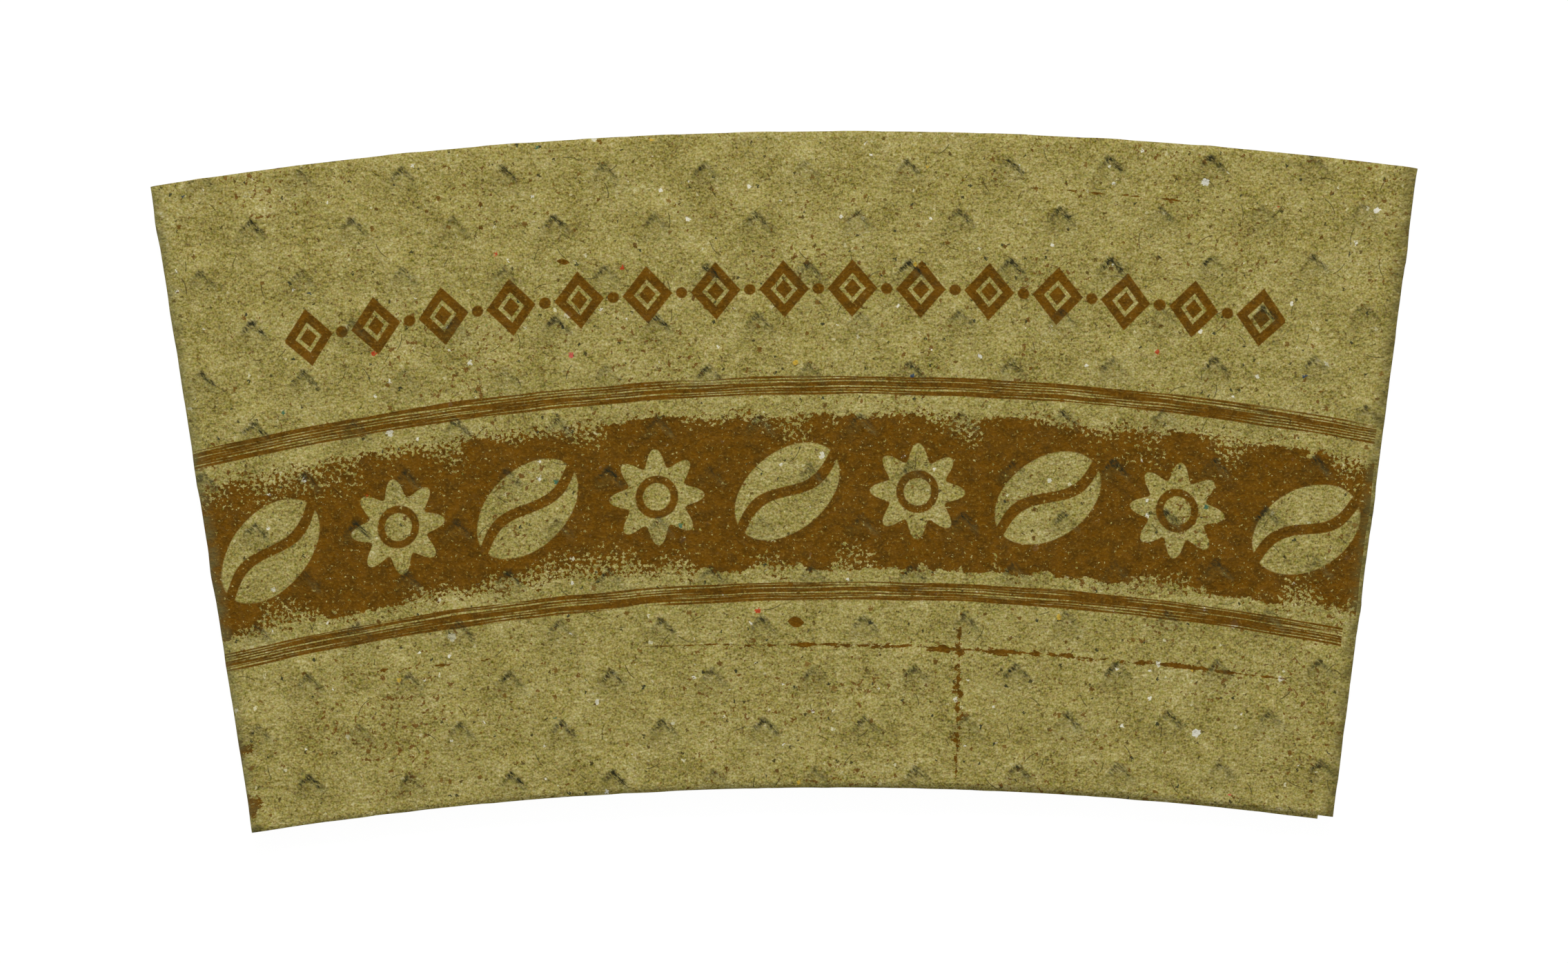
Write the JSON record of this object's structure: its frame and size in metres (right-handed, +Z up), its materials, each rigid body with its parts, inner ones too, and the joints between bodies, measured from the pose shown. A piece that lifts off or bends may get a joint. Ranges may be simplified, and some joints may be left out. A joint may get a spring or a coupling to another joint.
{
  "type": "coffee cup sleeve",
  "caption": "Cup sleeve of embossed recycled board, folded flat and glued into a loop that opens into a cone round a takeaway cup, printed with a worn brown band.",
  "frame": {"origin": "middle of the bounding box, on the floor that the back panel's bumps rest on", "axes": "+X across the panels towards the right fold, +Y towards the wide top edge, +Z up through the printed front panel"},
  "size_m": [0.126, 0.069, 0.004],
  "materials": {
    "printed_kraft_board": "matt recycled board with fibres and brown ink"
  },
  "bodies": {
    "root": {"cup_sleeve": "printed_kraft_board"}
  },
  "joints": []
}
